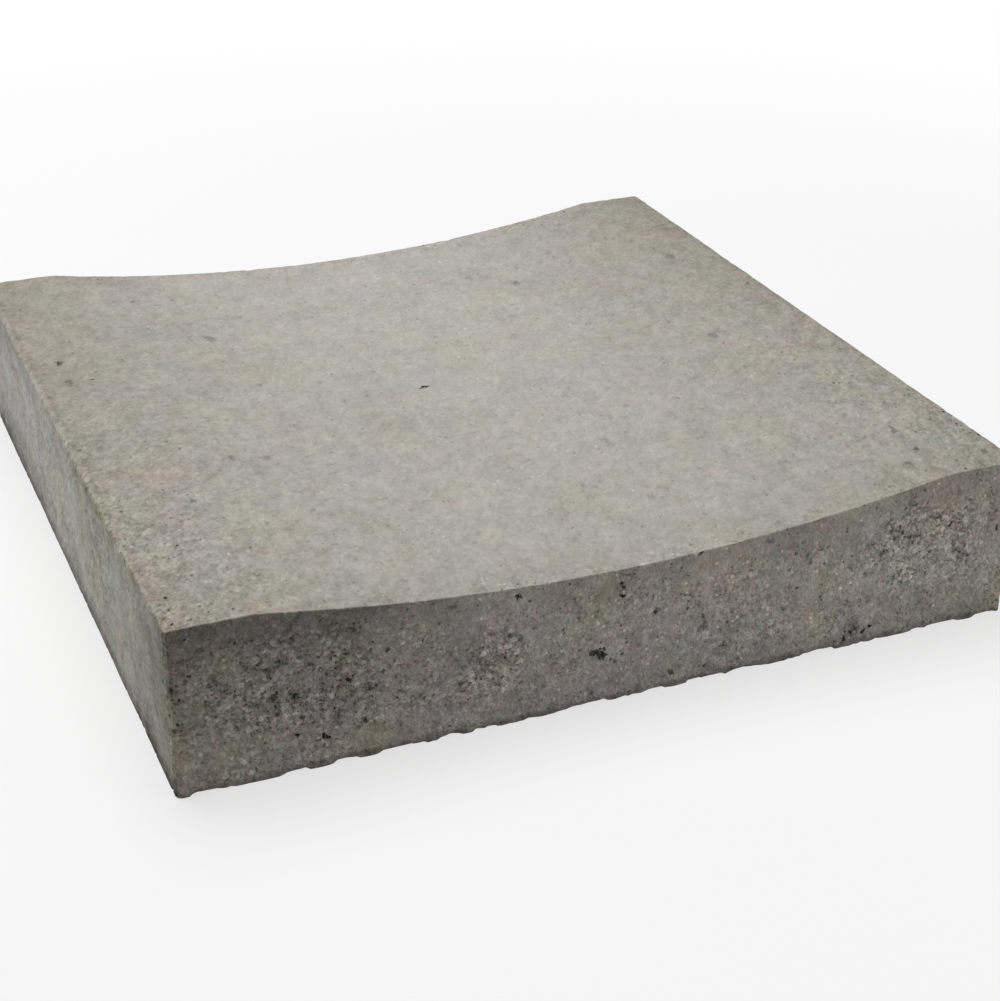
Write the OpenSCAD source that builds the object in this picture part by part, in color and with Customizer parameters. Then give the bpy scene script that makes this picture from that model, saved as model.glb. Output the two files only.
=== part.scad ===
// Concrete gutter slab: one pressed concrete flag with a shallow dish along its
// length, laid in a row so that the dishes join into a surface water channel.
// Millimetres. X runs across the channel, Y along it and Z up. The origin is at
// the centre of the underside.

/* [Slab] */
// Width across the channel, over both lands
slab_width = 350; // [300:5:500]
// Length along the channel
slab_length = 350; // [200:5:1000]
// Height of the lands above the underside
slab_height = 70; // [50:1:120]

/* [Channel] */
// Width of the flat land along each side of the dish
land_width = 33; // [20:1:60]
// Depth of the dish's middle below the lands
dish_depth = 12.5; // [6:0.5:25]

/* [Edges] */
// Radius of the four upright corners
corner_radius = 3; // [1:0.5:8]
// Radius of the outer top edge of each land
side_arris = 2; // [0.5:0.5:5]
// Radius of the top edge at each end, which follows the dish
end_arris = 1.5; // [0.5:0.5:4]

/* [Hidden] */

// The dish is an arc whose chord lies between the inner edges of the lands.
dish_reach = slab_width / 2 - land_width;
dish_radius = (dish_reach ^ 2 + dish_depth ^ 2) / (2 * dish_depth);
dish_axis_z = slab_height - dish_depth + dish_radius;
dish_turn = asin(dish_reach / dish_radius);

// How far a cutter stands out of the face that it cuts, and how many degrees a
// cutter that turns about the dish's axis goes past the dish, into the air.
overshoot = 5;
overturn = 1;

concrete = [0.67, 0.65, 0.61];

// Steps in a full circle, for the small rounds and for the dish, which is only
// a short arc of its own circle.
$fn = 96;
dish_fn = 1440;

// Section across the channel, in x and z.
module channel_section() {
  difference() {
    translate([-slab_width / 2, 0]) square([slab_width, slab_height]);
    translate([0, dish_axis_z]) circle(dish_radius, $fn = dish_fn);
  }
}

// Section of what is cut away at a sharp edge at the origin, of a body that
// lies towards -x and -y, to leave a round of radius r.
module arris_section(r) {
  translate([-r, -r])
    difference() {
      square(r + overshoot);
      circle(r);
    }
}

// Rounds the upright corner at +x and +y.
module corner_cut() {
  translate([slab_width / 2, slab_length / 2, -overshoot])
    linear_extrude(slab_height + 2 * overshoot) arris_section(corner_radius);
}

// Rounds the outer top edge of the land on the +x side.
module side_arris_cut() {
  translate([slab_width / 2, slab_length / 2 + overshoot, slab_height])
    rotate([90, 0, 0])
      linear_extrude(slab_length + 2 * overshoot) arris_section(side_arris);
}

// Rounds the top edge of the +y end where it crosses the lands. Over the dish
// this cutter hangs in the air.
module land_end_cut() {
  translate([-slab_width / 2 - overshoot, slab_length / 2, slab_height])
    rotate([90, 0, 90])
      linear_extrude(slab_width + 2 * overshoot) arris_section(end_arris);
}

// Rounds the top edge of the +y end along the dish, about the dish's axis.
module dish_end_cut() {
  swing = dish_turn + overturn;
  translate([0, slab_length / 2, dish_axis_z])
    rotate([-90, 0, 0])
      rotate([0, 0, 90 - swing])
        rotate_extrude(angle = 2 * swing, $fn = dish_fn)
          translate([dish_radius, 0]) mirror([1, 0]) arris_section(end_arris);
}

module gutter_slab() {
  color(concrete)
    difference() {
      translate([0, slab_length / 2, 0])
        rotate([90, 0, 0])
          linear_extrude(slab_length) channel_section();
      for (x_side = [0, 1], y_side = [0, 1])
        mirror([x_side, 0, 0]) mirror([0, y_side, 0]) corner_cut();
      for (x_side = [0, 1])
        mirror([x_side, 0, 0]) side_arris_cut();
      for (y_side = [0, 1])
        mirror([0, y_side, 0]) {
          land_end_cut();
          dish_end_cut();
        }
    }
}

gutter_slab();
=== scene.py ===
import math

import bpy
import numpy as np
from mathutils import Matrix, Vector


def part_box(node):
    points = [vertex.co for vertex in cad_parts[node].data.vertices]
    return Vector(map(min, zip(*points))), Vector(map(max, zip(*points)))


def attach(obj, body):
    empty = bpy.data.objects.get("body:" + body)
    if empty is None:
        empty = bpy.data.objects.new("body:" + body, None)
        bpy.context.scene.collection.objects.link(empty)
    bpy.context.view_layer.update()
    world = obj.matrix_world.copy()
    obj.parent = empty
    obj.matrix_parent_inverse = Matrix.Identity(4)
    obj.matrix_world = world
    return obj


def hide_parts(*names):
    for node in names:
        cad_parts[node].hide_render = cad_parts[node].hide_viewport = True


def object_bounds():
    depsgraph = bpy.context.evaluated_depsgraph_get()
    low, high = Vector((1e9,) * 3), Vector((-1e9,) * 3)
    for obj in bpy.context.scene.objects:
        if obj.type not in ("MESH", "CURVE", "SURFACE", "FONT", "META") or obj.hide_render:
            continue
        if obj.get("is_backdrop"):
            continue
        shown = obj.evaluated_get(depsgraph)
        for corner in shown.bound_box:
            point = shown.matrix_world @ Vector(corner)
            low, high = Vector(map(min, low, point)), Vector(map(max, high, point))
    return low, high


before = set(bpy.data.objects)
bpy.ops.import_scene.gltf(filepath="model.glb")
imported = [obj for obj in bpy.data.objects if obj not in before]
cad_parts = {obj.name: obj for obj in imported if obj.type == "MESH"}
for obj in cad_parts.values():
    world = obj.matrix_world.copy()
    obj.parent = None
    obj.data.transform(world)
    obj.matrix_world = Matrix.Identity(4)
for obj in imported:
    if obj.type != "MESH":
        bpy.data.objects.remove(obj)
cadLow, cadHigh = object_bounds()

mm = 0.001
nearlyNothing = 1e-9        # keeps a division by a length from failing


# Node trees: a Signal is one socket, and sums on it add the Math nodes.
class Signal:
    def __init__(self, graph, socket):
        self.graph = graph
        self.socket = socket

    def also(self, name):
        return Signal(self.graph, self.graph.find(self.socket.node.outputs, name))

    def __add__(self, other):
        return self.graph.maths("ADD", self, other)

    def __radd__(self, other):
        return self.graph.maths("ADD", other, self)

    def __sub__(self, other):
        return self.graph.maths("SUBTRACT", self, other)

    def __rsub__(self, other):
        return self.graph.maths("SUBTRACT", other, self)

    def __mul__(self, other):
        return self.graph.maths("MULTIPLY", self, other)

    def __rmul__(self, other):
        return self.graph.maths("MULTIPLY", other, self)

    def __truediv__(self, other):
        return self.graph.maths("DIVIDE", self, other)

    def __rtruediv__(self, other):
        return self.graph.maths("DIVIDE", other, self)

    def __pow__(self, other):
        return self.graph.maths("POWER", self, other)

    def __abs__(self):
        return self.graph.maths("ABSOLUTE", self)

    def __lt__(self, other):
        return self.graph.maths("LESS_THAN", self, other)

    def __gt__(self, other):
        return self.graph.maths("GREATER_THAN", self, other)

    def __round__(self):
        return self.graph.maths("ROUND", self)


class Graph:
    def __init__(self, tree):
        self.tree = tree

    def find(self, sockets, name):
        if isinstance(name, int):
            return sockets[name]
        for socket in sockets:
            if socket.identifier == name:
                return socket
        return next(s for s in sockets if s.name == name and s.enabled)

    def feed(self, socket, value):
        if isinstance(value, Signal):
            self.tree.links.new(value.socket, socket)
        else:
            socket.default_value = value

    # Any node: its type, its settings, what its sockets hold or take, and the output wanted.
    def node(self, kind, settings=None, sockets=None, out=0):
        made = self.tree.nodes.new(kind)
        for name, value in (settings or {}).items():
            setattr(made, name, value)
        for name, value in (sockets or {}).items():
            self.feed(self.find(made.inputs, name), value)
        return Signal(self, self.find(made.outputs, out)) if made.outputs else None

    def maths(self, operation, *values):
        vector = any(isinstance(v, Signal) and v.socket.type == "VECTOR" for v in values)
        if not vector:
            return self.node("ShaderNodeMath", {"operation": operation}, dict(enumerate(values)))
        spread = [v if isinstance(v, (Signal, tuple)) else (v, v, v) for v in values]
        return self.node("ShaderNodeVectorMath", {"operation": operation}, dict(enumerate(spread)))

    def least(self, *values):
        found = values[0]
        for value in values[1:]:
            found = self.maths("MINIMUM", found, value)
        return found

    def most(self, *values):
        found = values[0]
        for value in values[1:]:
            found = self.maths("MAXIMUM", found, value)
        return found

    def length(self, a, b):
        return self.maths("SQRT", a * a + b * b)

    # 0 below low, 1 above high, and a soft step between them; low may be the greater.
    def step(self, value, low, high):
        sockets = {"Value": value, "From Min": low, "From Max": high}
        return self.node("ShaderNodeMapRange", {"interpolation_type": "SMOOTHSTEP"}, sockets)

    def split(self, vector):
        x = self.node("ShaderNodeSeparateXYZ", sockets={0: vector})
        return x, x.also(1), x.also(2)

    def join(self, x, y, z):
        return self.node("ShaderNodeCombineXYZ", sockets={0: x, 1: y, 2: z})

    def noise(self, place, scale, detail=2.0, roughness=0.5, seed=0.0):
        settings = {"noise_dimensions": "4D"}
        sockets = {
            "Vector": place, "W": seed, "Scale": scale, "Detail": detail, "Roughness": roughness}
        return self.node("ShaderNodeTexNoise", settings, sockets)


# The slab: worn, chipped and torn inside the box of the plain solid.
slabParts = {
    "cornerRadius": 3 * mm,      # upright corners
    "sideArris": 2.2 * mm,       # top edge along each side
    "endArris": 1.0 * mm,        # top edge at each end
    "lowerArris": 0.5 * mm,      # edge round the underside
    "shoulder": 0.9 * mm,        # how deep the break between land and dish is softened
    "rows": 216,                 # rows of faces along and across the slab
    "rowsUp": 56,                # rows of faces up its sides
    "edgeRows": 12,              # of them, in the band along each edge
    "edgeBand": 6 * mm,
    "tornEdge": 1.7 * mm,        # how far up the lower edge is broken away
    "chips": 0.9 * mm,           # how deep the edges are chipped
    "waviness": 0.5 * mm,
    "roughness": 0.6 * mm,       # coarse relief of the ends
    "seed": 7,
}

slabLumps = {                    # how fine the noise is that shapes each of them, per metre
    "wear": 70.0,
    "torn": 52.0,
    "crumbs": 190.0,
    "waviness": 22.0,
    "roughness": 160.0,
    "chips": 240.0,
}


def newTree(name, inputs):
    tree = bpy.data.node_groups.new(name, "GeometryNodeTree")
    for title, (kind, start) in inputs.items():
        socket = tree.interface.new_socket(title, in_out="INPUT", socket_type=kind)
        if start is not None:
            socket.default_value = start
    tree.interface.new_socket("Geometry", in_out="OUTPUT", socket_type="NodeSocketGeometry")
    return Graph(tree)


def heightOfTop(g, x, size):
    # the lands' plane and the dish's arc, blended so that their meeting is soft
    arc = size["Height"] - size["Dish Depth"] + size["Dish Radius"]
    arc = arc - g.maths("SQRT", size["Dish Radius"] * size["Dish Radius"] - x * x)
    return g.maths("SMOOTH_MIN", arc, size["Height"], size["Shoulder"])


def slabTree():
    real = "NodeSocketFloat"
    whole = "NodeSocketInt"
    inputs = {name: (real, 0.0) for name in (
        "Width", "Length", "Height", "Dish Depth", "Dish Radius", "Shoulder",
        "Corner Radius", "Side Arris", "End Arris", "Lower Arris", "Edge Band",
        "Torn Edge", "Chips", "Waviness", "Roughness")}
    inputs |= {name: (whole, 1) for name in ("Rows", "Rows Up", "Edge Rows", "Seed")}
    inputs["Concrete"] = ("NodeSocketMaterial", None)
    g = newTree("slabShape", inputs)
    first = g.node("NodeGroupInput")
    size = {name: first.also(name) for name in inputs}
    seed = size["Seed"]
    block = g.node("GeometryNodeMeshCube", sockets={
        "Size": (2.0, 2.0, 2.0), "Vertices X": size["Rows"] + 1.0,
        "Vertices Y": size["Rows"] + 1.0, "Vertices Z": size["Rows Up"] + 1.0})
    u, v, w = g.split(g.node("GeometryNodeInputPosition"))

    # Rows are thinned out inside the top, the sides and the underside. The ends stay fine.
    onFace = 0.999
    underEdge = 4.0         # rows that stay along the edge of the underside
    topStep, underStep, sideStep = 3.0, 8.0, 2.0

    def rowOf(at, rows):
        return round((at + 1.0) * 0.5 * rows)

    def inner(row, rows, border):
        return (row > border - 0.5) * (row < rows - border + 0.5)

    def thinned(row, rows, border, step):
        near = border + round((row - border) / step) * step
        return g.least(g.most(near, border), rows - border) * 2.0 / rows - 1.0

    rows = size["Rows"]
    up = size["Rows Up"]
    edge = size["Edge Rows"]
    i = rowOf(u, rows)
    j = rowOf(v, rows)
    k = rowOf(w, up)
    top = (w > onFace) * inner(i, rows, edge) * inner(j, rows, edge)
    under = (w < -onFace) * inner(i, rows, underEdge) * inner(j, rows, underEdge)
    side = (abs(u) > onFace) * inner(j, rows, edge) * inner(k, up, edge)
    newU = u + top * (thinned(i, rows, edge, topStep) - u)
    newU = newU + under * (thinned(i, rows, underEdge, underStep) - u)
    newV = v + top * (thinned(j, rows, edge, topStep) - v)
    newV = newV + under * (thinned(j, rows, underEdge, underStep) - v)
    newV = newV + side * (thinned(j, rows, edge, sideStep) - v)
    newW = w + side * (thinned(k, up, edge, sideStep) - w)
    block = moved(g, block, g.join(newU, newV, newW))
    block = g.node("GeometryNodeMergeByDistance", sockets={"Geometry": block, "Distance": 1e-4})

    # From the even block to the slab's size, with narrower rows in the band along each edge.
    def spread(at, half, rows):
        share = 2.0 * edge / rows
        inside = abs(at) * (half - size["Edge Band"]) / (1.0 - share)
        band = half - (1.0 - abs(at)) * size["Edge Band"] / share
        return g.maths("SIGN", at) * g.least(inside, band)

    u, v, w = g.split(g.node("GeometryNodeInputPosition"))
    x = spread(u, size["Width"] * 0.5, rows)
    y = spread(v, size["Length"] * 0.5, rows)
    topZ = heightOfTop(g, x, size)
    z = (spread(w, size["Height"] * 0.5, up) / size["Height"] + 0.5) * topZ
    block = moved(g, block, g.join(x, y, z))

    # Rounds: upright corners first, then the edges round the top and the underside.
    x, y, z = g.split(g.node("GeometryNodeInputPosition"))
    topZ = heightOfTop(g, x, size)
    fromSide = size["Width"] * 0.5 - abs(x)
    fromEnd = size["Length"] * 0.5 - abs(y)
    fromEdge = g.least(fromSide, fromEnd)
    a = g.most(size["Corner Radius"] - fromSide, 0.0)
    b = g.most(size["Corner Radius"] - fromEnd, 0.0)
    reach = g.most(g.length(a, b), nearlyNothing)
    shrink = 1.0 - g.most(a, b) / reach
    outX = a / reach
    outY = b / reach
    moveX = a * shrink
    moveY = b * shrink

    def rounded(radius, depth):
        c = g.most(radius - fromEdge, 0.0)
        d = g.most(radius - depth, 0.0)
        shrink = 1.0 - g.most(c, d) / g.most(g.length(c, d), nearlyNothing)
        both = g.least(c, d) > 0.0
        return c * shrink * both, d * shrink * both

    # The arrises are worn unevenly, and the lower edge is ragged where the mould let go.
    at = g.node("GeometryNodeInputPosition")
    along = g.join(x, y, 0.0)
    wear = g.noise(at, slabLumps["wear"], 3.0, 0.6, seed)
    ragged = g.noise(along, slabLumps["torn"], 1.0, 0.6, seed + 3.0)
    crumbs = g.noise(along, slabLumps["crumbs"], 2.0, 0.6, seed + 4.0)
    torn = g.step(ragged + (crumbs - 0.5) * 0.35, 0.47, 0.53) * 0.45
    torn = torn + g.most(ragged - 0.42, 0.0) * 1.4 + g.step(crumbs, 0.5, 0.75) * 0.35
    torn = torn * size["Torn Edge"] * (0.2 + 0.8 * outY * outY)
    torn = torn * (1.0 - g.step(z, 0.0, 6 * mm)) * (1.0 - g.step(fromEdge, 0.0, 5 * mm))
    topArris = size["End Arris"] + (size["Side Arris"] - size["End Arris"]) * outX * outX
    topArris = topArris * (0.55 + wear * 0.9)
    inTop, downTop = rounded(topArris, topZ - z)
    inLow, upLow = rounded(size["Lower Arris"], z)
    moveX = moveX + outX * (inTop + inLow)
    moveY = moveY + outY * (inTop + inLow)
    newX = x - g.maths("SIGN", x) * moveX
    newY = y - g.maths("SIGN", y) * moveY
    block = moved(g, block, g.join(newX, newY, z - downTop + upLow + torn))

    # Everything below presses the surface inwards, never out.
    at = g.node("GeometryNodeInputPosition")
    normal = g.node("GeometryNodeInputNormal")
    fromSide, fromEnd, fromTop, fromUnder = insets(g, at, size)
    fromEdge = g.least(fromSide, fromEnd)
    swell = g.noise(at, slabLumps["waviness"], 2.0, 0.5, seed + 5.0)
    swell = g.most(swell - 0.4, 0.0) * size["Waviness"]
    onEnd = 1.0 - g.step(fromEnd, 0.5 * mm, 3.0 * mm)
    coarse = g.noise(at, slabLumps["roughness"], 3.0, 0.6, seed + 8.0)
    coarse = g.most(coarse - 0.45, 0.0) * size["Roughness"] * onEnd
    nearTop = 1.0 - g.step(g.most(fromEdge, fromTop), 0.6 * mm, 3.2 * mm)
    nearUnder = 1.0 - g.step(g.most(fromEdge, fromUnder), 0.6 * mm, 3.6 * mm)
    chips = g.most(g.noise(at, slabLumps["chips"], 3.0, 0.6, seed + 11.0) - 0.56, 0.0)
    chips = chips * size["Chips"] * 6.0 * g.most(nearTop * 0.7, nearUnder)
    keep = g.step(fromUnder, 0.0, 0.4 * mm)
    inward = normal * ((swell + coarse) * keep + chips) * -1.0
    block = g.node("GeometryNodeSetPosition", sockets={"Geometry": block, "Offset": inward})
    finish(g, block, size["Concrete"])
    return g.tree


# How far a place lies in from the sides, from the ends, below the top and above the underside.
def insets(g, at, size):
    x, y, z = g.split(at)
    topZ = heightOfTop(g, x, size)
    return size["Width"] * 0.5 - abs(x), size["Length"] * 0.5 - abs(y), topZ - z, z


def moved(g, mesh, place):
    return g.node("GeometryNodeSetPosition", sockets={"Geometry": mesh, "Position": place})


# How each tree ends: smooth faces, sharp where they turn by more than sharpTurn, all in concrete.
def finish(g, mesh, material):
    sharpTurn = 0.7
    steep = g.node("GeometryNodeInputMeshEdgeAngle") > sharpTurn
    mesh = g.node("GeometryNodeSetShadeSmooth", {"domain": "FACE"}, {"Geometry": mesh})
    mesh = g.node("GeometryNodeSetShadeSmooth", {"domain": "EDGE"}, {
        "Geometry": mesh, "Selection": steep, "Shade Smooth": False})
    mesh = g.node("GeometryNodeRealizeInstances", sockets={"Geometry": mesh})
    mesh = g.node("GeometryNodeSetMaterial", sockets={"Geometry": mesh, "Material": material})
    g.feed(g.tree.nodes.new("NodeGroupOutput").inputs[0], mesh)


# Air voids: pebble shapes laid on the surface and cut out of it. Least and Most bound their
# radius, and Shade is how much painted shade their insides get over their real shade.
voids = {                 # all over, closer together in patches
    "large": {
        "Least": 0.45 * mm, "Most": 1.2 * mm, "Spacing": 2.0 * mm, "Density": 13000.0,
        "Patches": 60.0, "Share": 0.54, "Facets": 2, "Seed": 31, "Ends": 1.0, "Shade": 0.25},
    "small": {
        "Least": 0.25 * mm, "Most": 0.6 * mm, "Spacing": 1.0 * mm, "Density": 75000.0,
        "Patches": 90.0, "Share": 0.47, "Facets": 1, "Seed": 47, "Ends": 1.0, "Sides": 0.05,
        "Corners": 1.0, "Top": 0.01, "Shade": 0.45},
}

nests = {                 # the deep ones, each nest in its place
    "middle": {
        "Least": 0.9 * mm, "Most": 2.2 * mm, "Count": 6, "Place": (-10 * mm, -174.6 * mm, 23 * mm),
        "Reach": (2.4 * mm, 0.3 * mm, 1.5 * mm), "Facets": 2, "Seed": 5, "Shade": 0.6},
    "tail": {
        "Least": 0.5 * mm, "Most": 1.3 * mm, "Count": 7, "Place": (-5 * mm, -174.6 * mm, 20 * mm),
        "Reach": (4.0 * mm, 0.3 * mm, 2.5 * mm), "Facets": 2, "Seed": 6, "Shade": 0.4},
    "underLip": {
        "Least": 0.5 * mm, "Most": 1.1 * mm, "Count": 5, "Place": (-1 * mm, -174.4 * mm, 49 * mm),
        "Reach": (1.2 * mm, 0.3 * mm, 3.0 * mm), "Facets": 2, "Seed": 3, "Shade": 0.35},
    "beside": {
        "Least": 0.9 * mm, "Most": 1.3 * mm, "Count": 3, "Place": (13 * mm, -174.4 * mm, 36 * mm),
        "Reach": (2.5 * mm, 0.3 * mm, 0.8 * mm), "Facets": 2, "Seed": 4, "Shade": 0.7},
    "atFoot": {
        "Least": 0.5 * mm, "Most": 1.2 * mm, "Count": 14, "Place": (104 * mm, -174.6 * mm, 6 * mm),
        "Reach": (7.0 * mm, 0.3 * mm, 2.0 * mm), "Facets": 2, "Seed": 8, "Shade": 0.35},
    "lowLeftOne": {
        "Least": 1.0 * mm, "Most": 1.4 * mm, "Count": 2, "Place": (-141 * mm, -174.4 * mm, 16 * mm),
        "Reach": (0.8 * mm, 0.3 * mm, 0.3 * mm), "Facets": 2, "Seed": 12, "Shade": 0.7},
    "lowLeftTwo": {
        "Least": 1.0 * mm, "Most": 1.5 * mm, "Count": 2, "Place": (-129 * mm, -174.4 * mm, 16 * mm),
        "Reach": (1.0 * mm, 0.3 * mm, 0.5 * mm), "Facets": 2, "Seed": 13, "Shade": 0.6},
    "lowLeftThree": {
        "Least": 1.0 * mm, "Most": 1.3 * mm, "Count": 2, "Place": (-119 * mm, -174.4 * mm, 13 * mm),
        "Reach": (0.9 * mm, 0.3 * mm, 0.5 * mm), "Facets": 2, "Seed": 14, "Shade": 0.8},
    "midLeft": {
        "Least": 0.4 * mm, "Most": 1.0 * mm, "Count": 14, "Place": (-107 * mm, -174.6 * mm, 30 * mm),
        "Reach": (11.0 * mm, 0.3 * mm, 10.0 * mm), "Facets": 2, "Seed": 15, "Shade": 0.5},
    "highRight": {
        "Least": 0.5 * mm, "Most": 1.2 * mm, "Count": 7, "Place": (122 * mm, -174.6 * mm, 48 * mm),
        "Reach": (4.0 * mm, 0.3 * mm, 3.5 * mm), "Facets": 2, "Seed": 18, "Shade": 0.45},
    "inDish": {
        "Least": 1.0 * mm, "Most": 1.5 * mm, "Count": 3, "Place": (-11 * mm, 8 * mm, 57.8 * mm),
        "Reach": (0.9 * mm, 0.7 * mm, 0.1 * mm), "Facets": 2, "Seed": 9, "Shade": 0.8},
}


def voidTree():
    real = "NodeSocketFloat"
    inputs = {"Slab": ("NodeSocketGeometry", None)}
    inputs |= {name: (real, 0.0) for name in (
        "Width", "Length", "Height", "Dish Depth", "Dish Radius", "Shoulder",
        "Least", "Most", "Spacing", "Density", "Patches", "Share",
        "Ends", "Sides", "Corners", "Top", "Shade")}
    inputs |= {"Facets": ("NodeSocketInt", 1), "Seed": ("NodeSocketInt", 1)}
    inputs["Concrete"] = ("NodeSocketMaterial", None)
    g = newTree("slabVoids", inputs)
    first = g.node("NodeGroupInput")
    size = {name: first.also(name) for name in inputs}
    at = g.node("GeometryNodeInputPosition")
    fromSide, fromEnd, _, fromUnder = insets(g, at, size)

    onEnd = 1.0 - g.step(fromEnd, 0.6 * mm, 1.5 * mm)
    onSide = 1.0 - g.step(fromSide, 0.6 * mm, 1.5 * mm)
    onUnder = 1.0 - g.step(fromUnder, 0.5 * mm, 1.2 * mm)
    nearSide = 1.0 - g.step(fromSide, 2.0 * mm, 30.0 * mm)
    nearEnd = 1.0 - g.step(fromEnd, 2.0 * mm, 45.0 * mm)
    onTop = size["Top"] + size["Corners"] * nearSide * nearEnd * nearEnd
    density = onTop * (1.0 - onEnd) * (1.0 - onSide)
    density = density + onEnd * size["Ends"] + onSide * size["Sides"]
    patches = g.noise(at, size["Patches"], 1.0, 0.5, size["Seed"] + 5.0)
    density = density * g.step(patches, size["Share"], size["Share"] + 0.1) * (1.0 - onUnder)
    points = g.node("GeometryNodeDistributePointsOnFaces", {"distribute_method": "POISSON"}, {
        "Mesh": size["Slab"], "Distance Min": size["Spacing"], "Density Max": size["Density"],
        "Density Factor": density, "Seed": size["Seed"]})
    cutPebbles(g, points, size)
    return g.tree


def nestTree():
    inputs = {
        "Slab": ("NodeSocketGeometry", None), "Count": ("NodeSocketInt", 1),
        "Place": ("NodeSocketVector", None), "Reach": ("NodeSocketVector", None),
        "Least": ("NodeSocketFloat", 0.0), "Most": ("NodeSocketFloat", 0.0),
        "Shade": ("NodeSocketFloat", 0.0), "Facets": ("NodeSocketInt", 1),
        "Seed": ("NodeSocketInt", 1), "Concrete": ("NodeSocketMaterial", None)}
    g = newTree("slabNest", inputs)
    first = g.node("NodeGroupInput")
    size = {name: first.also(name) for name in inputs}
    spread = g.node("FunctionNodeRandomValue", {"data_type": "FLOAT_VECTOR"}, {
        "Min": (-1.0, -1.0, -1.0), "Max": (1.0, 1.0, 1.0), "Seed": size["Seed"] + 7.0}, "Value")
    points = g.node("GeometryNodePoints", sockets={
        "Count": size["Count"], "Position": size["Place"] + spread * size["Reach"]})
    cutPebbles(g, points, size)
    return g.tree


# One pebble is a small ball pushed out of shape; each point gets one of five, turned and stretched.
# They stay instances until they are cut out, so that pebbles that overlap make one hollow.
def cutPebbles(g, points, size):
    shapes = 5
    fullTurn = 6.28
    mostlySmall = 3.0       # the higher, the fewer large ones
    ball = g.node("GeometryNodeMeshIcoSphere", sockets={
        "Radius": 1.0, "Subdivisions": size["Facets"]})
    variants = []
    for variant in range(shapes):
        lump = g.noise(g.node("GeometryNodeInputPosition"), 1.9, 1.0, 0.6, 10.0 * variant)
        bent = g.node("GeometryNodeInputPosition") * (lump * 2.9 - 0.45)
        made = g.node("GeometryNodeSetPosition", sockets={"Geometry": ball, "Position": bent})
        # each pebble carries its Shade as the hollow attribute: painted shade for the faces it cuts
        made = g.node("GeometryNodeStoreNamedAttribute", {"data_type": "FLOAT", "domain": "POINT"}, {
            "Geometry": made, "Name": "hollow", "Value": size["Shade"]})
        variants.append(g.node("GeometryNodeGeometryToInstance", sockets={"Geometry": made}))
    pebbles = joined(g, variants)
    chance = g.node(
        "FunctionNodeRandomValue", {"data_type": "FLOAT"}, {"Seed": size["Seed"]}, "Value_001")
    radius = size["Least"] + (size["Most"] - size["Least"]) * chance ** mostlySmall
    turn = g.node("FunctionNodeRandomValue", {"data_type": "FLOAT_VECTOR"}, {
        "Min": (0.0, 0.0, 0.0), "Max": (fullTurn, fullTurn, fullTurn),
        "Seed": size["Seed"] + 1.0}, "Value")
    girth = g.node("FunctionNodeRandomValue", {"data_type": "FLOAT_VECTOR"}, {
        "Min": (0.5, 0.5, 0.5), "Max": (1.6, 1.6, 1.6), "Seed": size["Seed"] + 2.0}, "Value")
    laid = g.node("GeometryNodeInstanceOnPoints", sockets={
        "Points": points, "Instance": pebbles, "Pick Instance": True,
        "Rotation": g.node("FunctionNodeEulerToRotation", sockets={0: turn}),
        "Scale": girth * radius})
    cut = g.node("GeometryNodeMeshBoolean", {"operation": "DIFFERENCE", "solver": "MANIFOLD"}, {
        "Mesh 1": size["Slab"], "Mesh 2": laid})
    finish(g, cut, size["Concrete"])


# Cutting can leave loose crumbs, and hollows closed in under the surface: only the slab stays.
def aloneTree():
    inputs = {
        "Slab": ("NodeSocketGeometry", None), "Least Points": ("NodeSocketInt", 1000),
        "Concrete": ("NodeSocketMaterial", None)}
    g = newTree("slabAlone", inputs)
    first = g.node("NodeGroupInput")
    island = g.node("GeometryNodeInputMeshIsland")
    points = g.node("GeometryNodeAccumulateField", {"data_type": "INT", "domain": "POINT"}, {
        "Value": 1, "Group ID": island}, "Total")
    alone = g.node("GeometryNodeDeleteGeometry", {"domain": "POINT"}, {
        "Geometry": first.also("Slab"), "Selection": points < first.also("Least Points")})
    finish(g, alone, first.also("Concrete"))
    return g.tree


def joined(g, parts):
    join = g.tree.nodes.new("GeometryNodeJoinGeometry")
    for part in reversed(parts):
        g.tree.links.new(part.socket, join.inputs[0])
    return Signal(g, join.outputs[0])


# A piece made by one or more trees, each given by its tree and its inputs, as a plain mesh.
def grow(name, *steps):
    piece = bpy.data.objects.new(name, bpy.data.meshes.new(name))
    bpy.context.collection.objects.link(piece)
    for tree, values in steps:
        modifier = piece.modifiers.new(tree.name, "NODES")
        modifier.node_group = tree
        for socket in tree.interface.items_tree:
            if socket.in_out == "INPUT" and socket.name in values:
                modifier[socket.identifier] = values[socket.name]
    made = piece.evaluated_get(bpy.context.evaluated_depsgraph_get())
    piece.data = bpy.data.meshes.new_from_object(made)
    piece.modifiers.clear()
    piece.data.name = name
    return piece
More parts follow.
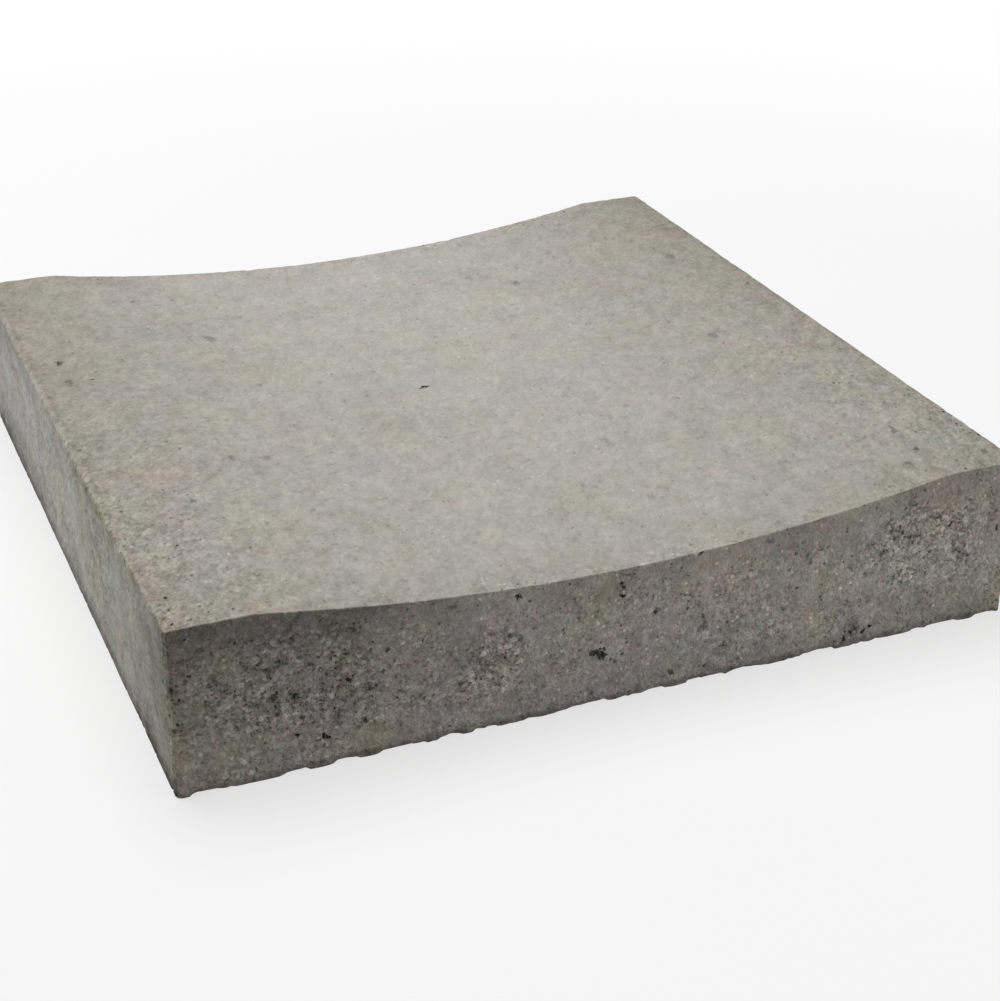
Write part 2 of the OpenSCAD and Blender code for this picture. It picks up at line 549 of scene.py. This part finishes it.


# The concrete: cement skin, sand that shows at the ends and corners, pits, and dirt with painted
# shade.
concreteLook = {
    "dishTone": (174, 170, 164),     # the paler skin along the middle
    "landTone": (151, 145, 134),     # the same skin along the sides
    "endTone": (158, 151, 145),
    "sideTone": (168, 165, 160),
    # painted shade for the insides of voids and pits
    "paintedHollowShade": (66, 60, 54),
    "rustGrain": (132, 108, 88),     # the few coloured grains of the sand
    "greenGrain": (116, 118, 88),
    "grainRuns": (0.34, 0.82, -0.46),   # the way the fine grain is drawn out
    "drawn": 0.55,                   # its size across that way, as a share of the size along it
    "cloudiness": 0.40,              # contrast of the broad, the middle and the fine unevenness
    "mottle": 0.46,
    "grit": 0.40,
    "openness": 2.1,                 # how much stronger they are where the sand shows
    "sand": 0.62,                    # contrast of single grains there
    "spots": 0.26,                   # contrast of the soft spots and specks on the skin
    "rose": 0.25,                    # strength of the rose and green tinge
    "warm": 0.28,                    # strength of the yellow and blue tinge
    "blotches": 0.40,                # soft blotches on the sides alone
    "dirtAndShade": 0.38,                    # darkening towards one corner, partly dirt and partly painted shade
    "darkCornerAt": (-1.0, -1.0),
    "footDirtAndShade": 0.15,                # painted contact shade and dirt along the foot all round,
    "footDirtAndShadeEnds": 0.26,            # with this much more on the ends
    "footDirtAndShadeSides": 0.36,           # and this much more on the sides
    "sideEdges": 0.13,               # darkening of a side towards its upper and lower edge,
    "sideEnds": 0.11,                # towards both its ends,
    "sideBack": 0.10,                # and towards its back end
    "endShadeUpwards": 0.09,                 # painted shade on an end, stronger upwards,
    "endRight": 0.11,                # and to the right
    "paleEnd": 0.10,                 # lightening of the top's edges at the ends,
    "arrisHighlight": 0.12,               # and a painted highlight along the arrises of the sides,
    "dimArris": 0.07,                # with this much darkening just beside them
    "dimUnderArris": 0.11,           # darkening of a side just under its arris
    "spotShare": 0.2,                # share of the cells that hold a spot, a speck or a fleck
    "speckShare": 0.1,
    "fleckShare": 0.36,
    "pitShare": 0.20,                # how much of the fine noise sinks into pits
    "bump": 0.5 * mm,
    "roughness": 0.88,
    "specular": 0.35,
    "lumps": {                       # how fine each unevenness is, per metre
        "cloud": 26.0, "mottle": 160.0, "grit": 560.0, "patch": 38.0,
        "rose": 30.0, "warm": 38.0, "blotches": 85.0, "pits": 430.0,
    },
    "cells": {                       # how fine each kind of grain and spot is, per metre
        "grain": 640.0, "dust": 1300.0, "spot": 150.0, "speck": 480.0, "fleck": 90.0,
    },
    "openSand": {                    # where the sand lies open on an end: x, z, reach across and up
        "left": (-130 * mm, 42 * mm, 34 * mm, 24 * mm),
        "middle": (-52 * mm, 27 * mm, 14 * mm, 16 * mm),
        "right": (131 * mm, 40 * mm, 36 * mm, 22 * mm),
    },
    "stains": {                      # soft dark places on the front end: x, z, reach, depth
        "underLip": (-1 * mm, 49 * mm, 3.4 * mm, 0.16),
        "besideOne": (9 * mm, 45 * mm, 1.6 * mm, 0.65),
        "besideTwo": (15 * mm, 36 * mm, 1.8 * mm, 0.45),
        "low": (35 * mm, 26 * mm, 2.4 * mm, 0.65),
        "lower": (44 * mm, 14 * mm, 2.0 * mm, 0.70),
        "right": (70 * mm, 25 * mm, 2.6 * mm, 0.55),
        "highOne": (62 * mm, 57 * mm, 2.2 * mm, 0.50),
        "highTwo": (-69 * mm, 56 * mm, 2.8 * mm, 0.50),
        "highThree": (-107 * mm, 56 * mm, 2.6 * mm, 0.48),
        "foot": (102 * mm, 8 * mm, 6.0 * mm, 0.48),
        "leftOne": (-137 * mm, 34 * mm, 2.8 * mm, 0.42),
        "leftTwo": (-114 * mm, 19 * mm, 4.0 * mm, 0.45),
    },
    "marks": {                       # soft dark marks on the top: x, y, reach, depth
        "amongDish": (40 * mm, -76 * mm, 3.5 * mm, 0.26),
        "leftLandOne": (-161 * mm, 66 * mm, 2.2 * mm, 0.80),
        "leftLandTwo": (-161 * mm, 43 * mm, 2.6 * mm, 0.36),
        "backLeft": (-87 * mm, 86 * mm, 3.4 * mm, 0.42),
        "backRight": (73 * mm, 102 * mm, 3.2 * mm, 0.35),
        "rightLandOne": (125 * mm, -9 * mm, 2.1 * mm, 0.36),
        "rightLandTwo": (149 * mm, 84 * mm, 3.5 * mm, 0.32),
        "frontLeftOne": (-140 * mm, -82 * mm, 2.2 * mm, 0.60),
        "frontLeftTwo": (-100 * mm, -46 * mm, 2.6 * mm, 0.40),
        "frontLeftThree": (-114 * mm, -46 * mm, 2.0 * mm, 0.36),
        "frontRightOne": (133 * mm, -159 * mm, 2.4 * mm, 0.40),
        "frontRightTwo": (143 * mm, -131 * mm, 2.2 * mm, 0.50),
        "frontRightThree": (166 * mm, -162 * mm, 2.2 * mm, 0.50),
    },
}


# A tone written as it is seen, 0 to 255, in the linear numbers that a shader takes.
def tone(red, green, blue):
    def linear(part):
        part = part / 255
        return part / 12.92 if part <= 0.04045 else ((part + 0.055) / 1.055) ** 2.4

    return (linear(red), linear(green), linear(blue), 1.0)


def blend(g, share, a, b, kind="MIX"):
    settings = {"data_type": "RGBA", "blend_type": kind, "clamp_factor": True}
    sockets = {"Factor_Float": share, "A_Color": a, "B_Color": b}
    return g.node("ShaderNodeMix", settings, sockets, "Result_Color")


def cells(g, place, scale, out="Distance"):
    settings = {"feature": "F1", "voronoi_dimensions": "3D"}
    return g.node("ShaderNodeTexVoronoi", settings, {"Vector": place, "Scale": scale}, out)


def concreteMaterial(look, size):
    material = bpy.data.materials.new("castConcrete")
    material.use_nodes = True
    material.node_tree.nodes.clear()
    g = Graph(material.node_tree)
    at = g.node("ShaderNodeTexCoord", out="Object")
    x, y, z = g.split(at)
    fromSide, fromEnd, fromTop, fromUnder = insets(g, at, size)
    hollow = g.node("ShaderNodeAttribute", {"attribute_name": "hollow"}, out="Fac")

    # 1 on a face and 0 off it, with a soft change across the edges between them
    def facing(own, *others):
        softEdge = 0.7 * mm
        return g.step(g.least(*others) - own, -softEdge, softEdge)

    onEnd = facing(fromEnd, fromSide, fromTop, fromUnder)
    onSide = facing(fromSide, fromEnd, fromTop, fromUnder)
    onUnder = facing(fromUnder, fromSide, fromEnd, fromTop)
    onTop = 1.0 - g.most(onEnd, onSide, onUnder)

    # Unevenness at three scales, the finer two drawn out a little in one direction.
    lumps = look["lumps"]
    runX, runY, runZ = look["grainRuns"]
    along = (x * runX + y * runY + z * runZ) * (1.0 - look["drawn"])
    skin = at - g.join(along * runX, along * runY, along * runZ)
    cloud = g.noise(at, lumps["cloud"], 1.0, 0.8, 1.0) - 0.5
    mottle = g.noise(skin, lumps["mottle"], 1.0, 0.8, 2.0) - 0.5
    grit = g.noise(skin, lumps["grit"], 1.0, 0.7, 3.0) - 0.5
    patch = g.noise(at, lumps["patch"], 3.0, 0.6, 4.0)

    # The sand shows on the ends and the underside, along the worn edges, and in patches
    # towards the front corners.
    across = x / (0.47 * size["Width"])
    alongSide = 1.0 - g.step(fromSide, 4 * mm, 75 * mm)
    towardsFront = 1.0 - g.step(y, -0.5 * size["Length"], 70 * mm)
    worn = alongSide * towardsFront * (0.6 + 0.4 * g.step(patch, 0.35, 0.6)) * (0.88 - 0.7 * x)
    worn = g.most(worn, (1.0 - g.step(fromEnd, 0.0, 16 * mm)) * g.step(patch, 0.4, 0.65) * 0.7)
    upright = 1.0 - g.step(g.length(fromSide, fromEnd), 2 * mm, 9 * mm)
    arris = (1.0 - g.step(g.most(fromSide, fromTop), 1.5 * mm, 7 * mm)) * (0.3 + 0.7 * towardsFront)
    sandy = g.most(onEnd, onUnder, upright * 0.8, worn * onTop * 0.75, arris * 0.7)

    # dirt and painted shade together: one corner is darker, and so are the foot all round and the
    # back of the sides
    cornerX = abs(x - look["darkCornerAt"][0] * 0.5 * size["Width"])
    cornerY = abs(y - look["darkCornerAt"][1] * 0.5 * size["Length"])
    nearDarkCorner = 1.0 - g.step(g.most(cornerX - 50 * mm, cornerY) + cloud * 0.08, -10 * mm, 85 * mm)
    heightShare = z / size["Height"]
    cornerDarkByHeight = 0.55 + 0.55 * heightShare + onEnd * (1.2 * heightShare - 0.6)
    dirtAndShade = nearDarkCorner * cornerDarkByHeight * (1.0 - onTop) * look["dirtAndShade"]
    dirtAndShade = dirtAndShade + onSide * g.step(abs(z - 36 * mm), 4 * mm, 30 * mm) * look["sideEdges"]
    sideEnds = g.step(abs(y - 20 * mm), 20 * mm, 130 * mm) * look["sideEnds"]
    dirtAndShade = dirtAndShade + onSide * (sideEnds - 0.06)
    dirtAndShade = dirtAndShade + onSide * g.step(y, 30 * mm, 130 * mm) * look["sideBack"]
    # the foot: painted contact shade along the floor, with some dirt
    foot = 1.0 - g.step(z + mottle * 0.006, 0.5 * mm, 3.5 * mm)
    dirtAndShade = dirtAndShade + foot * look["footDirtAndShade"]
    foot = 1.0 - g.step(z + grit * 0.004, 2.2 * mm, 4.6 * mm)
    dirtAndShade = dirtAndShade + foot * onEnd * look["footDirtAndShadeEnds"]
    foot = 1.0 - g.step(z + mottle * 0.01, 2.5 * mm, 11 * mm)
    dirtAndShade = dirtAndShade + foot * onSide * look["footDirtAndShadeSides"]

    # how strong the unevenness is: most where the sand lies open, least under the lip of an end
    bare = 0.0
    for placeX, placeZ, reachX, reachZ in look["openSand"].values():
        away = g.length((x - placeX) / reachX, (z - placeZ) / reachZ) + cloud * 0.9
        bare = g.most(bare, 1.0 - g.step(away, 0.5, 1.15))
    opened = onEnd * (g.step(patch, 0.38, 0.6) * 0.55 + nearDarkCorner * 0.35 + bare * 1.1 - 0.6)
    lip = onEnd * (1.0 - g.step(fromTop + cloud * 0.012, 4 * mm, 14 * mm))
    lip = lip * g.step(patch, 0.35, 0.55)
    opened = opened - lip * 0.5
    contrast = 1.0 + sandy * (look["openness"] - 1.0) + opened
    contrast = contrast + onSide * (0.35 + 0.9 * g.step(patch, 0.38, 0.6))
    contrast = contrast + onTop * (across * across * 0.65 + towardsFront * (0.2 - x * 0.6) - 0.18)

    # tones: the skin goes from the dish's to the lands' towards the sides
    edging = across * across * (0.8 + 0.2 * y / (0.5 * size["Length"])) + cloud * 0.4
    edging = edging + (1.0 - g.step(y, -0.5 * size["Length"], -0.36 * size["Length"])) * 0.3
    edging = edging - g.step(across, 0.7, 1.0) * 0.04
    top = blend(g, edging, tone(*look["dishTone"]), tone(*look["landTone"]))
    colour = blend(g, onSide, top, tone(*look["sideTone"]))
    colour = blend(g, onEnd, colour, tone(*look["endTone"]))

    # sand in two sizes: each grain has its own tone
    bent = skin + g.join(grit, mottle, grit) * 0.001
    grain = cells(g, bent, look["cells"]["grain"])
    grainTone, grainHue, grainRank = g.split(grain.also("Color"))
    dust = cells(g, bent, look["cells"]["dust"])
    dustTone = g.split(dust.also("Color"))[0]

    # rose against green, and yellow against blue, in soft patches
    tinged = 1.0 + sandy + onSide * 0.4
    rose = g.noise(at, lumps["rose"], 4.0, 0.8, 5.0) - 0.5
    rose = rose * (tinged + onTop * across * across * 0.7 + onSide * 0.9)
    rose = rose * look["rose"] + (grainHue - 0.5) * sandy * 0.16
    rose = rose + arris * 0.02 + upright * 0.03
    warm = (g.noise(at, lumps["warm"], 2.0, 0.8, 6.0) - 0.46) * tinged * look["warm"]
    warm = warm + (grainRank - 0.5) * sandy * 0.05
    warm = warm - (cloud * look["cloudiness"] + mottle * look["mottle"]) * contrast * 0.12
    underArris = onSide * (1.0 - g.step(fromTop, 4 * mm, 8 * mm))
    warm = warm + arris * 0.015 + upright * 0.05 + underArris * 0.06
    warm = warm + onSide * (0.03 - y * 0.35) + onEnd * nearDarkCorner * 0.03
    warm = warm + rose * 0.25
    red = 1.0 + rose * 0.5 + warm * 0.33
    green = 1.0 - rose * 0.5 + warm * 0.33
    blue = 1.0 - warm * 0.67
    colour = blend(g, 1.0, colour, g.join(red, green, blue), "MULTIPLY")

    # light and dark: the unevenness first, then single grains
    fine = mottle * look["mottle"] * (1.0 - sandy * 0.2 + onEnd * 0.25)
    fine = fine + grit * look["grit"] * (1.0 + onSide * 0.4)
    broad = 1.0 + (contrast - 1.0) * (0.2 + 0.2 * onEnd) + onSide * 0.9
    broad = broad - onTop * g.step(x, 50 * mm, 140 * mm) * 0.45
    light = 1.0 + cloud * look["cloudiness"] * broad + fine * contrast
    blotches = g.noise(at, lumps["blotches"], 2.0, 0.6, 8.0) - 0.5
    light = light + blotches * onSide * look["blotches"]
    grainTone = grainTone - 0.5
    dustTone = dustTone - 0.5
    sand = grainTone * grainTone * grainTone * 3.6 + dustTone * (dustTone * dustTone * 1.8 + 0.25)
    sand = sand + (grainRank > 0.9) * 0.4 - 0.03
    light = light + sand * look["sand"] * (0.2 + 0.8 * sandy + opened)

    # soft spots, small specks, flecks on the top, and pepper at the worn edges and corners
    spot = cells(g, at + g.join(mottle, grit, mottle) * 0.004, look["cells"]["spot"])
    spotRank, spotSize, _ = g.split(spot.also("Color"))
    spot = (1.0 - g.step(spot, 0.05, 0.15 + 0.25 * spotSize)) * (spotRank < look["spotShare"])
    speckCell = cells(g, bent, look["cells"]["speck"])
    speckRank, speckSize, _ = g.split(speckCell.also("Color"))
    speck = 1.0 - g.step(speckCell, 0.15, 0.2 + 0.3 * speckSize)
    speck = speck * (1.0 + sandy * (0.6 + onTop * 1.4))
    paleSpeck = speckRank > 1.0 - look["speckShare"]
    speck = speck * ((speckRank < look["speckShare"]) - paleSpeck * (0.8 + onEnd * 0.9))
    fleck = cells(g, bent + g.join(grit, mottle, mottle) * 0.004, look["cells"]["fleck"])
    fleckRank, fleckSize, _ = g.split(fleck.also("Color"))
    fleck = 1.0 - g.step(fleck, 0.04, 0.06 + 0.12 * fleckSize)
    fleck = fleck * (fleckRank < look["fleckShare"])
    fleck = fleck * onTop * (0.7 + 1.0 * across * across)
    pepper = (speckRank < 0.03 + upright * 0.12) - (speckRank > 0.88) * upright
    pepper = pepper * (1.0 - g.step(speckCell, 0.3, 0.45))
    pepper = pepper * g.most(arris * 0.9, upright, worn * onTop * 0.8)
    light = light - (spot * 0.8 + speck + fleck) * look["spots"] - pepper * 0.4

    # the marks that have their own place, the pale edges of the top with a painted highlight along
    # the arrises of the sides, and the stains
    for markX, markY, reach, depth in look["marks"].values():
        away = g.length(x - markX + grit * 0.008, (y - markY + mottle * 0.008) * 0.6)
        light = light - (1.0 - g.step(away - grit * 0.004, 0.25 * reach, reach)) * onTop * depth
    paleEnd = onTop * (1.0 - g.step(fromEnd, 0.4 * mm, 2.0 * mm)) * g.step(patch, 0.4, 0.6)
    # a painted highlight along the arrises of the sides
    arrisHighlight = 1.0 - g.step(g.most(fromSide * 1.7, fromTop), 0.8 * mm, 3.6 * mm)
    dimBeside = onTop * (1.0 - g.step(abs(fromSide - 3.1 * mm), 0.3 * mm, 1.5 * mm))
    light = light + paleEnd * look["paleEnd"] + arrisHighlight * look["arrisHighlight"]
    light = light - dimBeside * look["dimArris"]
    for stainX, stainZ, reach, depth in look["stains"].values():
        away = g.length(x - stainX + grit * 0.006, z - stainZ + mottle * 0.008)
        stain = (1.0 - g.step(away - grit * 0.004, 0.2 * reach, reach)) * onEnd * (y < 0.0)
        light = light - stain * depth
    light = light - underArris * look["dimUnderArris"] - lip * 0.06

    # dirt and painted shade over all of it; an end also gets painted shade upwards, and darkens to
    # the right
    endShadeUpwards = onEnd * g.step(z, 30 * mm, 56 * mm) * look["endShadeUpwards"]
    endRight = onEnd * g.step(x, 50 * mm, 175 * mm) * look["endRight"]
    light = light * (1.0 - dirtAndShade) * (1.0 - endShadeUpwards) * (1.0 - endRight)
    colour = blend(g, 1.0, colour, g.join(light, light, light), "MULTIPLY")
    colour = blend(g, (grainHue < 0.10) * sandy * 0.12, colour, tone(*look["rustGrain"]))
    colour = blend(g, (grainHue > 0.93) * sandy * 0.12, colour, tone(*look["greenGrain"]))

    # pits: the low spots of a fine noise, more of them in patches, sunk in the bump and darkened
    # with painted shade
    low = g.noise(at, lumps["pits"], 1.0, 0.5, 7.0)
    share = look["pitShare"] + sandy * (0.03 + 0.06 * g.step(patch, 0.42, 0.62))
    share = share + g.most(arris, upright) * 0.08
    pit = 1.0 - g.step(low, share - 0.02, share + 0.03)
    colour = blend(g, pit * (0.65 - onEnd * 0.1), colour, tone(*look["paintedHollowShade"]))
    # painted shade inside the cut voids, as strong as each void's Shade
    colour = blend(g, hollow, colour, tone(*look["paintedHollowShade"]))

    relief = (grit * 1.2 + mottle * 1.0) * (0.4 + 1.2 * sandy)
    relief = relief - (grain * 0.9 + dust * 0.4) * (0.06 + 0.94 * sandy)
    relief = relief - pit * (0.7 + 0.5 * sandy)
    bump = g.node("ShaderNodeBump", sockets={
        "Strength": 1.0, "Distance": look["bump"], "Height": relief})
    shader = g.node("ShaderNodeBsdfPrincipled", sockets={
        "Base Color": colour, "Roughness": look["roughness"] + grit * 0.2, "Normal": bump,
        "Specular IOR Level": look["specular"]})
    g.node("ShaderNodeOutputMaterial", sockets={"Surface": shader})
    return material


# A map of the surface: the top, the ends and the sides at one scale, the
# underside smaller in the corner that is left.
def layOutMap(piece, size):
    mesh = piece.data
    gap = 2.5 * mm
    width, length, height = size["Width"], size["Length"], size["Height"]
    full = length + 2 * height + 4 * gap
    layer = mesh.uv_layers.new(name="OFBake")
    points = np.empty(len(mesh.vertices) * 3)
    mesh.vertices.foreach_get("co", points)
    points = points.reshape(-1, 3)
    middles = np.empty(len(mesh.polygons) * 3)
    mesh.polygons.foreach_get("center", middles)
    middles = middles.reshape(-1, 3)
    counts = np.empty(len(mesh.polygons), int)
    mesh.polygons.foreach_get("loop_total", counts)
    corners = np.empty(len(mesh.loops), int)
    mesh.loops.foreach_get("vertex_index", corners)

    x, y, z = middles.T
    arc = height - size["Dish Depth"] + size["Dish Radius"]
    arc = arc - np.sqrt(size["Dish Radius"] ** 2 - x ** 2)
    depths = np.stack([
        np.minimum(arc, height) - z,
        y + length / 2, length / 2 - y,
        x + width / 2, width / 2 - x,
        z])
    side = np.repeat(depths.argmin(0), counts)
    x, y, z = points[corners].T
    right = x + width / 2
    back = y + length / 2
    small = 2 * height / max(width, length)
    places = [
        (gap + right, gap + back),
        (gap + right, 2 * gap + length + z),
        (gap + right, 3 * gap + length + height + z),
        (2 * gap + width + z, gap + back),
        (3 * gap + width + height + z, gap + back),
        (2 * gap + width + right * small, 3 * gap + length + back * small)]
    across = np.select([side == n for n in range(6)], [place[0] for place in places])
    up = np.select([side == n for n in range(6)], [place[1] for place in places])
    layer.data.foreach_set("uv", (np.stack([across, up], 1) / full).ravel())


def makeSlab():
    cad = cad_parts["gutter_slab"]
    low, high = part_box("gutter_slab")
    dishFloor = cad.ray_cast((0, 0, 1), (0, 0, -1))[1].z
    flat = high.z - 0.001 * mm
    reach = min(abs(v.co.x) for v in cad.data.vertices if v.co.z > flat)
    depth = high.z - dishFloor
    size = {
        "Width": high.x - low.x, "Length": high.y - low.y, "Height": high.z - low.z,
        "Dish Depth": depth, "Dish Radius": (reach ** 2 + depth ** 2) / (2 * depth),
        "Shoulder": slabParts["shoulder"]}
    print("slab: width, length and height in mm:", *(round(side / mm, 1) for side in high - low))
    concrete = {"Concrete": concreteMaterial(concreteLook, size)}
    print("concrete: material made")
    shape = size | concrete | {
        "Corner Radius": slabParts["cornerRadius"], "Side Arris": slabParts["sideArris"],
        "End Arris": slabParts["endArris"], "Lower Arris": slabParts["lowerArris"],
        "Edge Band": slabParts["edgeBand"], "Torn Edge": slabParts["tornEdge"],
        "Chips": slabParts["chips"], "Waviness": slabParts["waviness"],
        "Roughness": slabParts["roughness"], "Rows": slabParts["rows"],
        "Rows Up": slabParts["rowsUp"], "Edge Rows": slabParts["edgeRows"],
        "Seed": slabParts["seed"]}
    scattered = voidTree()
    placed = nestTree()
    cuts = [(scattered, size | concrete | values) for values in voids.values()]
    cuts += [(placed, concrete | values) for values in nests.values()]
    slab = grow("dished_slab", (slabTree(), shape), *cuts, (aloneTree(), concrete))
    print("slab: shaped, with", len(cuts), "kinds of voids cut out")
    for name in ("id", "sharp_face"):
        if name in slab.data.attributes:
            slab.data.attributes.remove(slab.data.attributes[name])
    layOutMap(slab, size)
    print("slab: map laid out")
    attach(slab, "root")
    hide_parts("gutter_slab")
    triangles = sum(len(face.vertices) - 2 for face in slab.data.polygons)
    print("slab: finished with", triangles, "triangles")
    return slab


# Floor, light and camera
stageLook = {
    "floor": 2.4,                # edge of the floor
    "floorTone": (238, 238, 238),
    "shadow": 0.32,              # how much of the floor's own light and shade the camera sees
    "reach": 0.9,                # how far out it fades to the plain backdrop
    "sky": 0.27,
}

lamps = {
    "above": {"place": (-0.12, 0.32, 1.25), "edge": 0.9, "power": 12.8},
    "left": {"place": (-1.2, 0.7, 0.3), "edge": 0.6, "power": 3.4},
    "right": {"place": (0.75, -0.75, 0.3), "edge": 0.4, "power": 2.0},
}

cameraView = {
    "azimuth": -22.64,
    "elevation": 27.43,
    "roll": 0.19,
    "distance": 905.7 * mm,
    "aim": (14.1 * mm, -19.7 * mm, 8.8 * mm),   # from the middle of the underside
    "lens": 72.52,
}


def makeStage(look):
    white = (1.0, 1.0, 1.0, 1.0)
    half = look["floor"] / 2
    mesh = bpy.data.meshes.new("floor")
    corners = [(-half, -half, 0), (half, -half, 0), (half, half, 0), (-half, half, 0)]
    mesh.from_pydata(corners, [], [(0, 1, 2, 3)])
    floor = bpy.data.objects.new("floor", mesh)
    bpy.context.collection.objects.link(floor)
    material = bpy.data.materials.new("paleFloor")
    material.use_nodes = True
    material.node_tree.nodes.clear()
    g = Graph(material.node_tree)
    seen = g.node("ShaderNodeLightPath", out="Is Camera Ray")
    x, y, _ = g.split(g.node("ShaderNodeTexCoord", out="Object"))
    shown = (1.0 - g.step(g.length(x, y), 0.35 * look["reach"], look["reach"])) * look["shadow"]
    plain = g.node("ShaderNodeEmission", sockets={"Color": white, "Strength": 1.0})
    matt = g.node("ShaderNodeBsdfDiffuse", sockets={"Color": tone(*look["floorTone"])})
    mixed = g.node("ShaderNodeMixShader", sockets={0: seen * (1.0 - shown), 1: matt, 2: plain})
    g.node("ShaderNodeOutputMaterial", sockets={"Surface": mixed})
    mesh.materials.append(material)
    floor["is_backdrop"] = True

    world = bpy.data.worlds.new("sky")
    bpy.context.scene.world = world
    world.use_nodes = True
    world.node_tree.nodes.clear()
    g = Graph(world.node_tree)
    seen = g.node("ShaderNodeLightPath", out="Is Camera Ray")
    strength = look["sky"] + seen * (1.0 - look["sky"])
    sky = g.node("ShaderNodeBackground", sockets={"Color": white, "Strength": strength})
    g.node("ShaderNodeOutputWorld", sockets={"Surface": sky})


def makeLamps(table, target):
    for name, look in table.items():
        data = bpy.data.lights.new(name, "AREA")
        data.shape = "SQUARE"
        data.size = look["edge"]
        data.energy = look["power"]
        lamp = bpy.data.objects.new(name, data)
        lamp.location = look["place"]
        lamp.rotation_euler = (target - lamp.location).to_track_quat("-Z", "Y").to_euler()
        bpy.context.collection.objects.link(lamp)


def makeCamera(look):
    turn = math.radians(look["azimuth"])
    rise = math.radians(look["elevation"])
    level = math.cos(rise)
    back = Vector((math.sin(turn) * level, -math.cos(turn) * level, math.sin(rise)))
    data = bpy.data.cameras.new("camera")
    data.lens = look["lens"]
    camera = bpy.data.objects.new("camera", data)
    camera.rotation_mode = "QUATERNION"
    facing = (-back).to_track_quat("-Z", "Y").to_matrix()
    facing = facing @ Matrix.Rotation(math.radians(look["roll"]), 3, "Z")
    camera.rotation_quaternion = facing.to_quaternion()
    camera.location = Vector(look["aim"]) + back * look["distance"]
    bpy.context.collection.objects.link(camera)
    bpy.context.scene.camera = camera


slab = makeSlab()
makeStage(stageLook)
print("stage: floor and sky made")
makeLamps(lamps, Vector((0, 0, cadHigh.z / 2)))
print("stage:", len(lamps), "lamps set up")
makeCamera(cameraView)
print("stage: camera set up")
bpy.context.scene.view_settings.view_transform = "Standard"

shownLow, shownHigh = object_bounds()
{"cad": [list(cadLow), list(cadHigh)], "visual": [list(shownLow), list(shownHigh)]}
